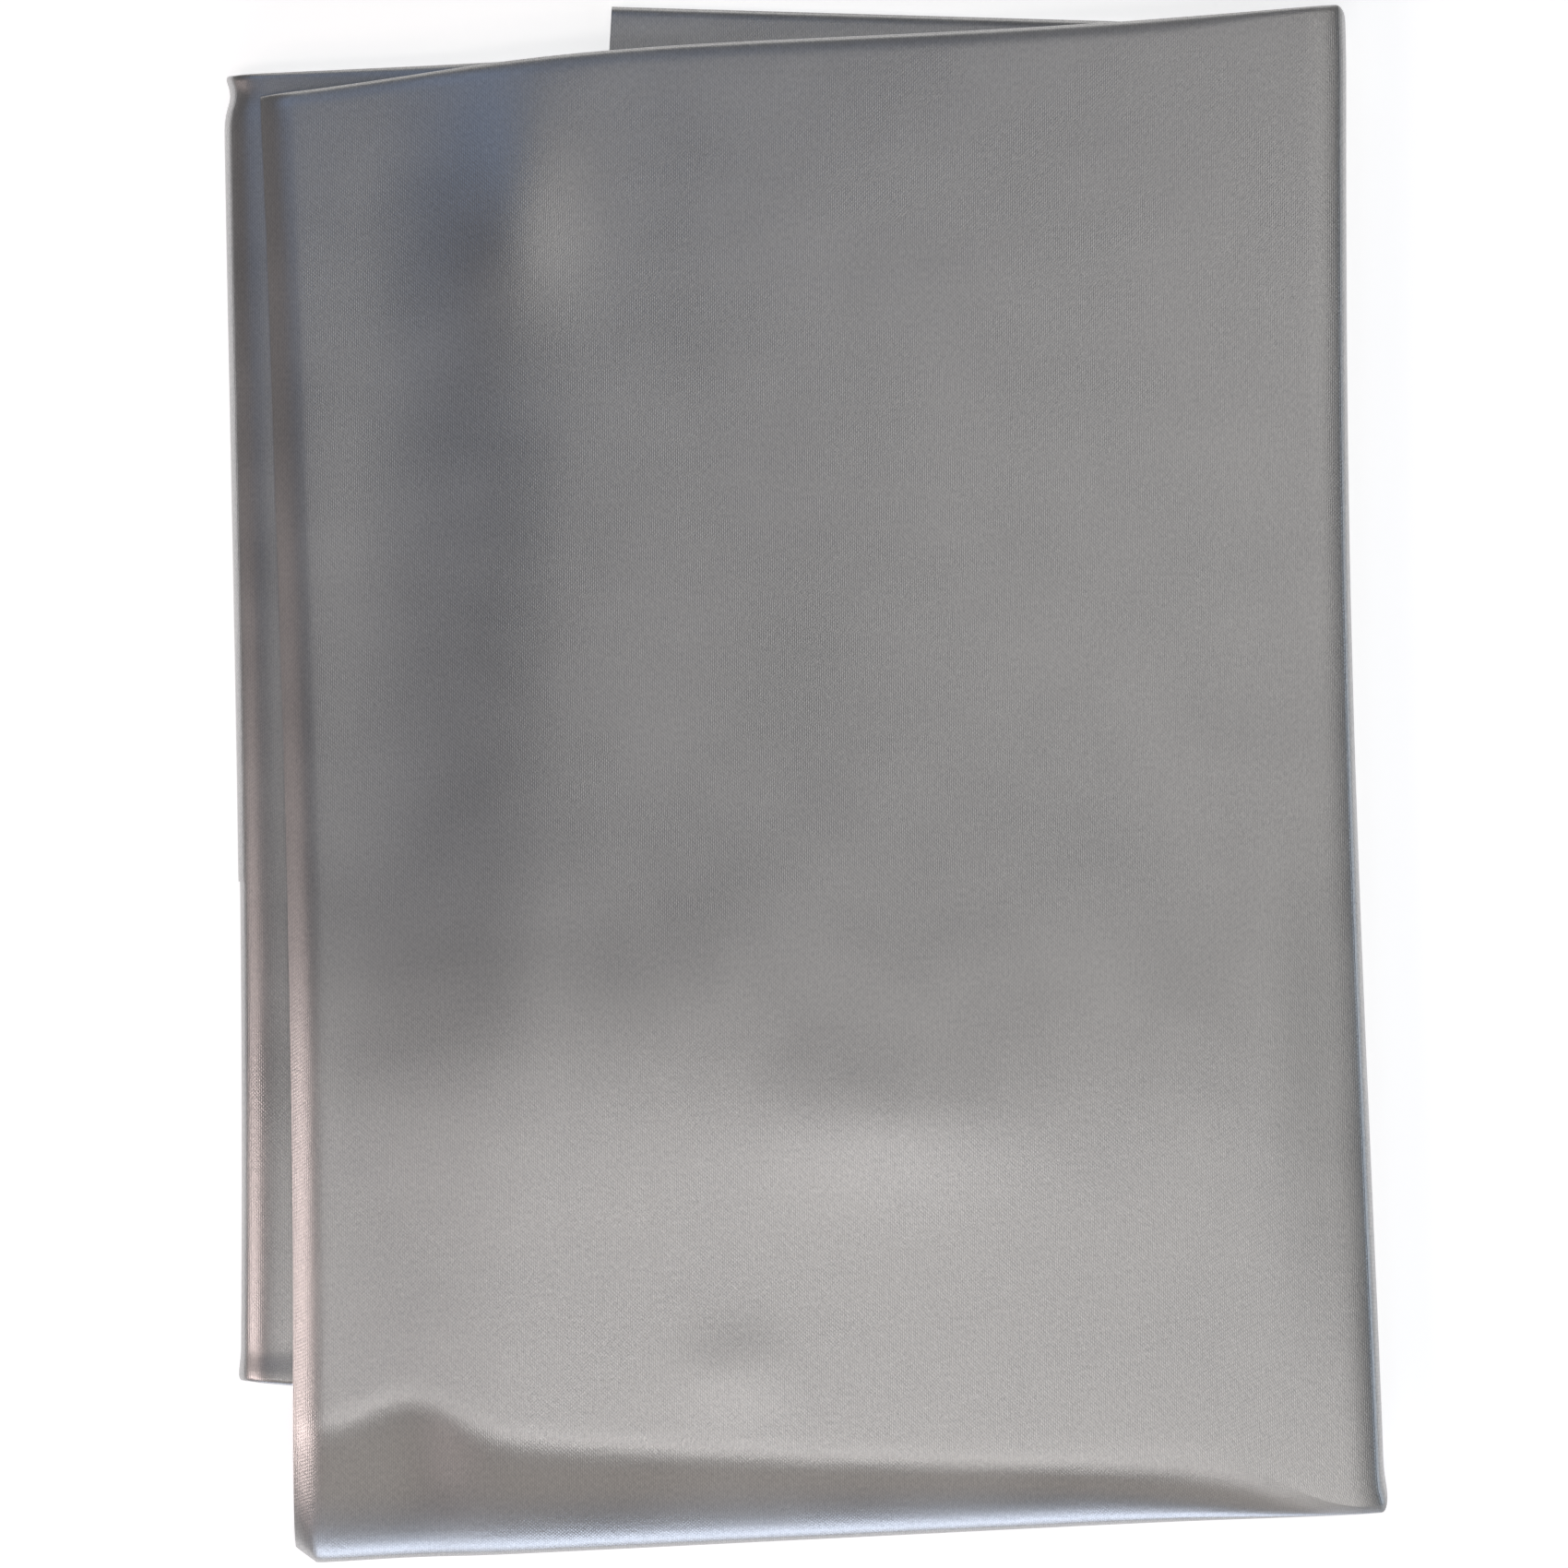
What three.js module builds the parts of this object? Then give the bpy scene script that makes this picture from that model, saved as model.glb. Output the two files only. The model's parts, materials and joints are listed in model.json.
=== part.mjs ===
// A fire blanket: one square of coated glass-fibre cloth, folded flat and lying on a table.
//
// Millimetres, +Z up. X runs across the bundle and Y from its near edge to its far edge.
// The cloth is first folded in three, like a letter, into a strip: an outer panel, a near flap
// turned over from the near edge, and a far flap turned over from the far edge. The strip is
// then pleated back and forth into four leaves: tail, lower, middle and top. Each pleat is a
// hinge: the first and third run down the right side and the second down the left side.

import * as THREE from 'three';

// ---------------------------------------------------------------------------------------
// Driving dimensions, in millimetres and degrees
// ---------------------------------------------------------------------------------------

const bundleWidth = 328; // between the outsides of the left and right pleats, halfway up
const bundleDepth = 451; // from the nearest edge to the farthest
const clothThickness = 0.9; // one layer with its crimp and loft
const layerAir = 0.6; // air between one layer and the next
const cutGap = 0.3; // between two solids of the one sheet

const rightPleatLean = 1.53; // degrees that the right pleats lean off Y
const leftPleatLean = 0.65; // degrees that the left pleat leans off Y

const nearFlapShort = 28; // how far the near flap ends short of the far fold
// How far the far flap ends short of the near fold, at either end of each leaf. Its free edge
// slants where the strip is skewed.
const farFlapShort = {
  tail: { left: 70, right: 62 },
  lower: { left: 143, right: 62 },
  middle: { left: 143, right: 62 },
  top: { left: 58, right: 62 },
};

const tailLength = { near: 250, far: 212 }; // from the right pleat to the cut end of the tail
const topShort = { near: 15.9, far: 11.9 }; // how far the top leaf ends short of the left pleat

// How far each leaf's edges lie inside the bundle's far and near lines, at either end.
const farInset = {
  tail: { left: 0, right: 6 },
  lower: { left: 20.5, right: 7 },
  middle: { left: 20.5, right: 7 },
  top: { left: 27, right: 1.5 },
};
const nearInset = {
  tail: { left: 37, right: 33 },
  lower: { left: 53.5, right: 27 },
  middle: { left: 53.5, right: 27 },
  top: { left: 0, right: 16.5 },
};

const tailStep = 2.2; // how far the upper leaves sink where the tail under them ends
const tailStepRun = 42; // the width of that slope
const nearDroop = 7; // how far the top leaf's overhang droops at the near edge
const nearDroopRun = 38; // the width of that slope
const slopeClearance = 2; // from a lower edge to the start of the slope over it

const cloth = { color: 0x9c9b98, roughness: 0.42, metalness: 0.35 };

// ---------------------------------------------------------------------------------------
// Sizes that follow
// ---------------------------------------------------------------------------------------

const layerPitch = clothThickness + layerAir;
const layersInLeaf = 3;
const leafHeight = layersInLeaf * layerPitch;
const halfDepth = bundleDepth / 2;
const pleatReach = (layersInLeaf - 0.5) * layerPitch + clothThickness / 2; // outermost layer
const nearFoldRadius = layerPitch / 2; // the near flap lies next to the outer panel
const farFoldRadius = layerPitch; // the far flap lies over the near flap
const arcSegments = 6;
const slopeSteps = 4; // facets across a slope
const flatSteps = { tail: 1, lower: 1, middle: 1, top: 8 }; // facets on either side of it

const rightSlope = Math.tan(THREE.MathUtils.degToRad(rightPleatLean));
const leftSlope = Math.tan(THREE.MathUtils.degToRad(leftPleatLean));
const rightPleat = (y) => bundleWidth / 2 - y * rightSlope;
const leftPleat = (y) => -bundleWidth / 2 - y * leftSlope;
const depthShare = (y) => (halfDepth - y) / bundleDepth; // 0 at the far line, 1 at the near
const tailEnd = (y) => rightPleat(y)
  - THREE.MathUtils.lerp(tailLength.far, tailLength.near, depthShare(y));
const topEnd = (y) => leftPleat(y)
  + THREE.MathUtils.lerp(topShort.far, topShort.near, depthShare(y));

// The layers of a leaf from its lowest up. Each pleat turns the strip over.
const outerDown = ['outer_panel', 'near_flap', 'far_flap'];
const outerUp = ['far_flap', 'near_flap', 'outer_panel'];

const leaves = [
  makeLeaf('tail', 0, outerDown, tailEnd, true),
  makeLeaf('lower', 1, outerUp, leftPleat, false),
  makeLeaf('middle', 2, outerDown, leftPleat, false),
  makeLeaf('top', 3, outerUp, topEnd, true),
];

// left is the line of the leaf's left side. A cut end stands there by itself, and a pleated
// side leaves room for its bend.
function makeLeaf(name, index, layers, left, leftIsCut) {
  return {
    name,
    index,
    layers,
    left,
    leftInset: leftIsCut ? 0 : pleatReach + cutGap,
    rightInset: pleatReach + cutGap,
    far: farInset[name],
    near: nearInset[name],
    flat: flatSteps[name],
    rowSteps: index === 0 ? flatSteps[name] : flatSteps[name] + slopeSteps + flatSteps[name],
  };
}

// ---------------------------------------------------------------------------------------
// Where the cloth lies
// ---------------------------------------------------------------------------------------

// A corner of a leaf, drawn in from its outline by insetX and insetY.
function corner(leaf, side, end, insetX, insetY) {
  const y = end === 'near'
    ? leaf.near[side] - halfDepth + insetY
    : halfDepth - leaf.far[side] - insetY;
  const x = side === 'left' ? leaf.left(y) + insetX : rightPleat(y) - insetX;
  return new THREE.Vector2(x, y);
}

// The near edge of the middle leaf, which the top leaf hangs over.
function shelfEdge(x) {
  const middle = leaves[2];
  const left = corner(middle, 'left', 'near', 0, 0);
  const right = corner(middle, 'right', 'near', 0, 0);
  const share = (x - left.x) / (right.x - left.x);
  return THREE.MathUtils.lerp(left.y, right.y, share) - slopeClearance;
}

// How much a leaf lies lower at a point than it would on a flat pile.
function sink(leaf, point) {
  if (leaf.index === 0) {
    return 0;
  }
  const slopeTop = tailEnd(point.y) - slopeClearance;
  const pastTail = 1 - THREE.MathUtils.smoothstep(point.x, slopeTop - tailStepRun, slopeTop);
  let depth = tailStep * pastTail;
  if (leaf.index === 3) {
    const overhang = shelfEdge(point.x) - point.y;
    depth += nearDroop * THREE.MathUtils.smoothstep(overhang, 0, nearDroopRun);
  }
  return depth;
}

// The height of the middle of a layer of the cloth.
function layerHeight(leaf, layer) {
  return leaf.index * leafHeight + (leaf.layers.indexOf(layer) + 0.5) * layerPitch;
}

// A point of a row of cloth that runs from left to right. Equal steps of share make facets
// on the flat at either end and on the slope past the tail.
function alongRow(leaf, left, right, share) {
  if (leaf.index === 0) {
    return left.clone().lerp(right, share);
  }
  const guess = tailEnd((left.y + right.y) / 2);
  const rowY = THREE.MathUtils.mapLinear(guess, left.x, right.x, left.y, right.y);
  const slopeTop = tailEnd(rowY) - slopeClearance;
  const stops = [left.x, slopeTop - tailStepRun, slopeTop, right.x];
  const shares = [0, leaf.flat / leaf.rowSteps, 1 - leaf.flat / leaf.rowSteps, 1];
  const span = share < shares[1] ? 0 : share < shares[2] ? 1 : 2;
  const x = THREE.MathUtils.mapLinear(
    share, shares[span], shares[span + 1], stops[span], stops[span + 1],
  );
  return new THREE.Vector2(x, THREE.MathUtils.mapLinear(x, left.x, right.x, left.y, right.y));
}

// A point of a side of the top leaf, with facets on its droop and one more beyond.
const columnSteps = slopeSteps + 1;

function alongColumn(near, shelf, far, share) {
  const shelfShare = slopeSteps / columnSteps;
  return share < shelfShare
    ? near.clone().lerp(shelf, share / shelfShare)
    : shelf.clone().lerp(far, (share - shelfShare) / (1 - shelfShare));
}

// Moves each vertex of a geometry to where place(x, y, z) puts it.
function lay(geometry, place) {
  const position = geometry.attributes.position;
  for (let i = 0; i < position.count; i += 1) {
    const to = place(position.getX(i), position.getY(i), position.getZ(i));
    position.setXYZ(i, to.x, to.y, to.z);
  }
  geometry.computeVertexNormals();
  return geometry;
}

// ---------------------------------------------------------------------------------------
// Panels, folds and pleats
// ---------------------------------------------------------------------------------------

const foldRoom = (radius) => radius + clothThickness / 2; // from an edge to its fold's axis

// How far a layer ends inside the leaf's outline at its near or far edge. A flap ends there
// in a free edge, and the other ends meet a fold.
function layerInset(leaf, layer, side, end) {
  const room = foldRoom(end === 'near' ? nearFoldRadius : farFoldRadius);
  if (layer === 'near_flap' && end === 'far') {
    return room + nearFlapShort;
  }
  if (layer === 'far_flap' && end === 'near') {
    return room + farFlapShort[leaf.name][side];
  }
  return room + cutGap;
}

// One flat layer of one leaf.
function panel(leaf, layer) {
  const sideInset = { left: leaf.leftInset, right: leaf.rightInset };
  const at = (side, end) => corner(
    leaf, side, end, sideInset[side], layerInset(leaf, layer, side, end),
  );
  const droops = leaf.index === 3 && layer !== 'far_flap';
  const shelfPoint = (side) => {
    const near = at(side, 'near');
    return new THREE.Vector2(near.x, shelfEdge(near.x));
  };
  const edgePoint = (side, share) => (droops
    ? alongColumn(at(side, 'near'), shelfPoint(side), at(side, 'far'), share)
    : at(side, 'near').lerp(at(side, 'far'), share));
  const alongSteps = droops ? columnSteps : 1;
  const geometry = new THREE.BoxGeometry(1, 1, clothThickness, leaf.rowSteps, alongSteps, 1);
  const height = layerHeight(leaf, layer);
  return lay(geometry, (x, y, z) => {
    const left = edgePoint('left', y + 0.5);
    const right = edgePoint('right', y + 0.5);
    const point = alongRow(leaf, left, right, x + 0.5);
    return new THREE.Vector3(point.x, point.y, height - sink(leaf, point) + z);
  });
}

// Half a ring of cloth, drawn out along Z by 1. Its hollow side is at x = 0.
function halfRing(radius, steps) {
  const outer = radius + clothThickness / 2;
  const inner = radius - clothThickness / 2;
  const shape = new THREE.Shape();
  shape.absarc(0, 0, outer, -Math.PI / 2, Math.PI / 2, false);
  shape.absarc(0, 0, inner, Math.PI / 2, -Math.PI / 2, true);
  return new THREE.ExtrudeGeometry(shape, {
    depth: 1,
    steps,
    curveSegments: arcSegments,
    bevelEnabled: false,
  });
}

// The fold that joins the outer panel of a leaf to a flap, at its near or far edge.
function fold(leaf, end) {
  const radius = end === 'near' ? nearFoldRadius : farFoldRadius;
  const flap = end === 'near' ? 'near_flap' : 'far_flap';
  const room = foldRoom(radius);
  const left = corner(leaf, 'left', end, leaf.leftInset, room);
  const right = corner(leaf, 'right', end, leaf.rightInset, room);
  const height = (layerHeight(leaf, 'outer_panel') + layerHeight(leaf, flap)) / 2;
  const out = end === 'near' ? -1 : 1;
  return lay(halfRing(radius, leaf.rowSteps), (x, y, z) => {
    const share = end === 'near' ? 1 - z : z;
    const point = alongRow(leaf, left, right, share);
    return new THREE.Vector3(point.x, point.y + out * x, height - sink(leaf, point) + y);
  });
}

// The stretch of a pleat's axis that one layer bends about. It ends where the shorter of the
// two leaves' layers does.
function pleatAxis(below, layer) {
  const above = leaves[below.index + 1];
  const side = below.index % 2 === 0 ? 'right' : 'left';
  const endOf = (leaf, end) => corner(
    leaf, side, end, pleatReach, layerInset(leaf, layer, side, end),
  );
  const [nearA, nearB] = [endOf(below, 'near'), endOf(above, 'near')];
  const [farA, farB] = [endOf(below, 'far'), endOf(above, 'far')];
  return {
    side,
    above,
    near: nearA.y > nearB.y ? nearA : nearB,
    far: farA.y < farB.y ? farA : farB,
  };
}

// One layer of the bend that joins a leaf to the one above it.
function pleat(below, layer) {
  const axis = pleatAxis(below, layer);
  const height = axis.above.index * leafHeight;
  const radius = layerHeight(axis.above, layer) - height;
  const out = axis.side === 'right' ? 1 : -1;
  return lay(halfRing(radius, 1), (x, y, z) => {
    const share = axis.side === 'right' ? 1 - z : z;
    const point = axis.near.clone().lerp(axis.far, share);
    return new THREE.Vector3(point.x + out * x, point.y, height - sink(below, point) + y);
  });
}

// ---------------------------------------------------------------------------------------
// The bundle
// ---------------------------------------------------------------------------------------

function clothMesh(name, geometry) {
  const mesh = new THREE.Mesh(geometry, new THREE.MeshStandardMaterial(cloth));
  mesh.name = name;
  return mesh;
}

const bundle = new THREE.Group();
const pleatNames = ['first_pleat', 'second_pleat', 'third_pleat'];

for (const leaf of leaves) {
  const leafGroup = new THREE.Group();
  for (const layer of leaf.layers) {
    leafGroup.add(clothMesh(`${leaf.name}_${layer}`, panel(leaf, layer)));
  }
  leafGroup.add(clothMesh(`${leaf.name}_near_fold`, fold(leaf, 'near')));
  leafGroup.add(clothMesh(`${leaf.name}_far_fold`, fold(leaf, 'far')));
  bundle.add(leafGroup);
}

for (const below of leaves.slice(0, -1)) {
  for (const layer of below.layers) {
    bundle.add(clothMesh(`${pleatNames[below.index]}_${layer}`, pleat(below, layer)));
  }
}

// The origin stands under the middle of the bundle, on the surface that it lies on.
const extent = new THREE.Box3().setFromObject(bundle);
const middle = extent.getCenter(new THREE.Vector3());
bundle.position.set(-middle.x, -middle.y, -extent.min.z);

export default bundle;
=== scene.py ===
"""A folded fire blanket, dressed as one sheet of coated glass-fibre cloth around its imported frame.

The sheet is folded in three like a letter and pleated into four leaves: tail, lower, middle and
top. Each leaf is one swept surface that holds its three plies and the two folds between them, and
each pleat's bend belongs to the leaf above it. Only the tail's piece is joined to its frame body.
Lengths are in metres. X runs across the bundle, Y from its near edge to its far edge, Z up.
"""
import json
import logging
import math
from collections.abc import Sequence
from dataclasses import dataclass, field
from enum import Enum

import bmesh
import bpy
import numpy as np
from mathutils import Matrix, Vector


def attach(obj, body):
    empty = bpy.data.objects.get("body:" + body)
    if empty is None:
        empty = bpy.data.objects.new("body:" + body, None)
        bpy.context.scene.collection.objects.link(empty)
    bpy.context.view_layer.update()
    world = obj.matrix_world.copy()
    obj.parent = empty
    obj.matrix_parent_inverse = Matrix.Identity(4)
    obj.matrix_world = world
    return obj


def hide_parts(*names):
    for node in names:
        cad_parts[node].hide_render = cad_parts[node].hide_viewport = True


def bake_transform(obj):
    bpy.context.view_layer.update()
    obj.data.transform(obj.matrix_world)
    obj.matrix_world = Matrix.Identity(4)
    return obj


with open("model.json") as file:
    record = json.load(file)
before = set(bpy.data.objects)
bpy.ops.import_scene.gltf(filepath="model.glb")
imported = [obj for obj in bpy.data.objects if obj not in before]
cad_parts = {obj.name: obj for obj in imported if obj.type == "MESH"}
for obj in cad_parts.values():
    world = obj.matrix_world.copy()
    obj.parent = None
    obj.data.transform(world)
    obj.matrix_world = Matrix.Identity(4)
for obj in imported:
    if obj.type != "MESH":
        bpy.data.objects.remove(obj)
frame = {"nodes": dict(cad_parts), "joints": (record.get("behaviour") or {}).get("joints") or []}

logging.basicConfig(level=logging.INFO, format="%(message)s")
log = logging.getLogger("fire_blanket")

MM = 0.001

Array = np.ndarray
Source = bpy.types.NodeSocket | float


def ease(value: Array | float, start: float, stop: float) -> Array:
    """Rises smoothly from 0 at start to 1 at stop."""
    share = np.clip((np.asarray(value, float) - start) / (stop - start), 0, 1)
    return share * share * (3 - 2 * share)


def lerp(a: Array | float, b: Array | float, share: Array | float) -> Array:
    """The value that lies share of the way from a to b."""
    return a + (b - a) * share


class Side(Enum):
    """A long side of the bundle, with the direction in which it faces along X."""

    LEFT = -1
    RIGHT = 1


class End(Enum):
    """A short side of the bundle, with the direction in which it faces along Y."""

    NEAR = -1
    FAR = 1


class Ply(Enum):
    """A layer of the letter fold, with the name that its nodes end in."""

    OUTER_PANEL = "outer_panel"
    NEAR_FLAP = "near_flap"
    FAR_FLAP = "far_flap"


@dataclass(frozen=True)
class Line:
    """A straight line in plan: value = at_zero + slope * other."""

    at_zero: float
    slope: float

    def __call__(self, other: Array | float) -> Array:
        """The line's value where the other coordinate is given."""
        return self.at_zero + self.slope * np.asarray(other, float)

    @classmethod
    def through(cls, a: tuple[float, float], b: tuple[float, float]) -> "Line":
        """The line through two (other, value) points."""
        slope = (b[1] - a[1]) / (b[0] - a[0])
        return cls(a[1] - slope * a[0], slope)


def plan_corner(node: str, side: Side, end: End) -> tuple[float, float]:
    """X and Y of a frame panel's corner at rest.

    Args:
        node: The name of the panel's node.
        side: The side that the corner is at.
        end: The end that the corner is at.

    Returns:
        X and Y of the corner, in metres.
    """
    points = np.array([v.co[:2] for v in frame["nodes"][node].data.vertices])
    best = points[np.argmax(points @ np.array([side.value, end.value]))]
    return float(best[0]), float(best[1])


@dataclass(frozen=True)
class Hinge:
    """A pleat's axis, as the frame gives it."""

    name: str
    height: float
    line: Line

    @classmethod
    def from_frame(cls, name: str) -> "Hinge":
        """Reads the axis of the joint of that name.

        Args:
            name: The joint's name in the frame.

        Returns:
            The axis, as a height and a line in plan.
        """
        joint = next(j for j in frame["joints"] if j["name"] == name)
        x, y, z = joint["pos_m"]
        slope = joint["axis"][0] / joint["axis"][1]
        return cls(name, z, Line(x - slope * y, slope))


@dataclass(frozen=True)
class Bow:
    """How far an edge of a leaf stands outside its straight line.

    out moves the whole edge. swell is a hump along it with its top at the share middle of its
    length, narrower for a higher power. tip is a pointed dog-ear at the start of the edge,
    followed by a notch of its own depth.
    """

    out: float = 0.0
    swell: float = 0.0
    middle: float = 0.5
    power: float = 1.0
    tip: float = 0.0
    notch: float = 0.0
    tip_run: float = 5 * MM

    def along(self, share: Array, length: float) -> Array:
        """The offset at each share of the edge's length.

        Args:
            share: Where along the edge, from 0 at its start to 1 at its end.
            length: The edge's length.

        Returns:
            How far outside its straight line the edge stands at each share.
        """
        share = np.clip(share, 0, 1)
        bias = math.log(0.5) / math.log(self.middle)
        hump = self.out + self.swell * np.sin(math.pi * share**bias) ** self.power
        run = share * length / self.tip_run
        ear = self.tip * np.clip(1 - run, 0, 1)
        return hump + ear - self.notch * np.exp(-((run - 2.0) ** 2))


@dataclass(frozen=True)
class Roll:
    """The loop that a fold makes where one ply turns over into another."""

    over: float  # width of the curve on the outer panel
    under: float  # width of the curve on the flap
    tip: float  # height of the fold's edge above the leaf's floor
    low: float  # height of the flap where its curve ends
    settle: float  # how far in from the edge the flap reaches its own height

    def pressed(self, loose: Array) -> tuple[Array, ...]:
        """The five sizes as columns, where loose is 0 for pressed flat and 1 for this roll.

        Args:
            loose: How loose the roll is in each section.

        Returns:
            over, under, tip, low and settle, each with a row for each section.
        """
        own = (self.over, self.under, self.tip, self.low, self.settle)
        flat = (TIGHT.over, TIGHT.under, TIGHT.tip, TIGHT.low, TIGHT.settle)
        return tuple(lerp(f, o, loose)[:, None] for f, o in zip(flat, own))


TIGHT = Roll(over=2 * MM, under=1.5 * MM, tip=2.25 * MM, low=1.66 * MM, settle=9 * MM)


@dataclass(frozen=True)
class Swell:
    """A low mound or hollow in a leaf."""

    x: float
    y: float
    across: float  # its half-width along X
    along: float  # its half-width along Y
    height: float  # below 0 for a hollow

    def at(self, x: Array, y: Array) -> Array:
        """Its height at points in plan.

        Args:
            x: X of the points.
            y: Y of the points.

        Returns:
            What the mound adds at each point.
        """
        u = (x - self.x) / self.across
        v = (y - self.y) / self.along
        return self.height * np.exp(-(u * u) - v * v)


@dataclass(frozen=True)
class Cloth:
    """The sheet's own sizes, and how finely its surface is cut."""

    side: float = 1.2
    thickness: float = 0.45 * MM
    ply_pitch: float = 0.5 * MM
    slot: float = 4.5 * MM  # the height that each leaf takes in the pile
    first_floor: float = -0.3 * MM
    panel_steps: int = 106
    leaf_steps: int = 84
    end_steps: int = 12
    end_run: float = 0.032
    arc_steps: int = 10
    ramp_steps: int = 8
    bend_steps: int = 16

    def ply_height(self, step: int) -> float:
        """The height of a ply above its leaf's floor, step plies above the middle one."""
        return self.slot / 2 + step * self.ply_pitch

    def shares(self) -> Array:
        """Where a leaf's sections stand across it, closer together at its two sides.

        Returns:
            Shares of the way across, from 0 at the left to 1 at the right.
        """
        ends = np.linspace(0, self.end_run, self.end_steps, endpoint=False)
        middle = np.linspace(self.end_run, 1 - self.end_run, self.leaf_steps)
        return np.concatenate([ends, middle, 1 - ends[::-1]])


@dataclass
class Section:
    """A cross-section of the letter fold, drawn stretch by stretch for many sections at once."""

    rows: int
    y: list[Array] = field(default_factory=list)
    z: list[Array] = field(default_factory=list)

    def run(self, y: Array, z: Array | float) -> None:
        """Adds a stretch, given as one row or as a row for each section.

        Args:
            y: Y of the stretch's points.
            z: Their heights, or one height for all of them.
        """
        size = (self.rows, np.shape(y)[1])
        self.y.append(np.broadcast_to(y, size))
        self.z.append(np.broadcast_to(z, size))

    def whole(self) -> tuple[Array, Array]:
        """Y and height of the whole section, with a row for each section."""
        return np.concatenate(self.y, axis=1), np.concatenate(self.z, axis=1)


@dataclass
class Leaf:
    """One leaf of the pile: its outline, and how its plies and folds lie."""

    name: str
    index: int
    outer_up: bool
    cloth: Cloth
    right: Hinge
    left: Hinge | None = None
    near_roll: Roll = TIGHT
    far_roll: Roll = TIGHT
    bows: dict[Side | End, Bow] = field(default_factory=dict)
    near_room: float = 1.5 * MM
    far_room: float = 2.25 * MM
    press_start: float = 4 * MM
    press_run: float = 60 * MM

    def __post_init__(self) -> None:
        """Reads the leaf's outline from the frame's panels."""
        panel = f"{self.name}_{Ply.OUTER_PANEL.value}"
        at = {(s, e): plan_corner(panel, s, e) for s in Side for e in End}
        self.near_line = Line.through(at[Side.LEFT, End.NEAR], at[Side.RIGHT, End.NEAR])
        self.far_line = Line.through(at[Side.LEFT, End.FAR], at[Side.RIGHT, End.FAR])
        self.cut_line = Line.through(at[Side.LEFT, End.NEAR][::-1], at[Side.LEFT, End.FAR][::-1])
        self.near_flap_gap = self.gap(Ply.NEAR_FLAP, End.FAR)
        self.far_flap_gap = self.gap(Ply.FAR_FLAP, End.NEAR)

    def gap(self, ply: Ply, end: End) -> tuple[float, float]:
        """How far a flap's free edge lies inside the leaf's edge, at its left and right.

        Args:
            ply: The flap.
            end: The end of the leaf that the flap's free edge lies near.

        Returns:
            The two distances, each measured from the edge of the fold.
        """
        line, room = self.edge_line(end)
        found = [plan_corner(f"{self.name}_{ply.value}", side, end) for side in Side]
        left, right = (abs(float(line(x)) - y) + room for x, y in found)
        return left, right

    def edge_line(self, end: End) -> tuple[Line, float]:
        """The line of the outer panel's edge, and how far the fold stands outside it.

        Args:
            end: Which of the leaf's two ends.

        Returns:
            The line, and the fold's room beyond it.
        """
        if end is End.NEAR:
            return self.near_line, self.near_room
        return self.far_line, self.far_room

    @property
    def body(self) -> str:
        """The frame body that the leaf rides on."""
        return f"{self.name}_leaf"

    @property
    def floor(self) -> float:
        """The height of the leaf's floor on a flat pile."""
        return self.index * self.cloth.slot + self.cloth.first_floor

    @property
    def depth(self) -> float:
        """The length from the near edge to the far edge, half-way across."""
        return float(self.far_line(0) - self.near_line(0))

    def side_at(self, side: Side, y: Array | float) -> Array:
        """X of the leaf's left or right side.

        Args:
            side: Which side.
            y: Where along it.

        Returns:
            X of the side at each Y, with the side's bow in it.
        """
        share = (self.far_line(0) - np.asarray(y, float)) / self.depth
        bow = self.bows.get(side, Bow())
        if side is Side.RIGHT:
            return self.right.line(y) + bow.along(1 - share, self.depth)
        line = self.left.line if self.left else self.cut_line
        return line(y) - bow.along(share, self.depth)

    def edge(self, share: Array, end: End) -> Array:
        """Y of the near or far edge at each share of the way across, as a column.

        Args:
            share: Where across the leaf, from 0 at the left to 1 at the right.
            end: Which edge.

        Returns:
            Y of the fold's outside, with a row for each share.
        """
        line, room = self.edge_line(end)
        left, right = (self.side_at(side, line(0)) for side in Side)
        bow = self.bows.get(end, Bow()).along(share, float(right - left))
        return (line(lerp(left, right, share)) + end.value * (room + bow))[:, None]

    def looseness(self, share: Array) -> Array:
        """How loose the folds are at each share: 0 where a pleat presses them flat.

        Args:
            share: Where across the leaf, from 0 at the left to 1 at the right.

        Returns:
            0 for pressed flat to 1 for a free roll.
        """
        width = float(self.side_at(Side.RIGHT, 0.0) - self.side_at(Side.LEFT, 0.0))
        loose = ease((1 - share) * width, self.press_start, self.press_run)
        if self.left:
            loose = loose * ease(share * width, self.press_start, self.press_run)
        return loose

    def profile(self, share: Array) -> tuple[Array, Array]:
        """The letter fold's cross-section at each share of the way across.

        Args:
            share: Where the sections are, from 0 at the left to 1 at the right.

        Returns:
            Y and height above the leaf's floor, with a row for each section and a column for
            each step from the near flap's free edge to the far flap's.
        """
        cloth, section = self.cloth, Section(len(share))
        near, far = self.edge(share, End.NEAR), self.edge(share, End.FAR)
        loose = self.looseness(share)
        inner, middle, outer = (cloth.ply_height(step) for step in (-1, 0, 1))
        steps = np.linspace(0, 1, cloth.panel_steps)[None, :]
        ramp = np.linspace(0, 1, cloth.ramp_steps + 1)[None, 1:]
        out = np.linspace(math.pi / 2, 0, cloth.arc_steps)[None, 1:]
        back = np.linspace(0, math.pi / 2, cloth.arc_steps)[None, 1:]

        over, under, tip, low, settle = self.near_roll.pressed(loose)
        gap = lerp(*self.near_flap_gap, share)[:, None]
        section.run(lerp(far - gap, near + settle, steps), middle)
        section.run(near + lerp(settle, under, ramp), lerp(middle, low, ease(ramp, 0, 1)))
        section.run(near + under * (1 - np.cos(out)), lerp(tip, low, np.sin(out)))
        section.run(near + over * (1 - np.cos(back)), lerp(tip, outer, np.sin(back)))

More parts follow.
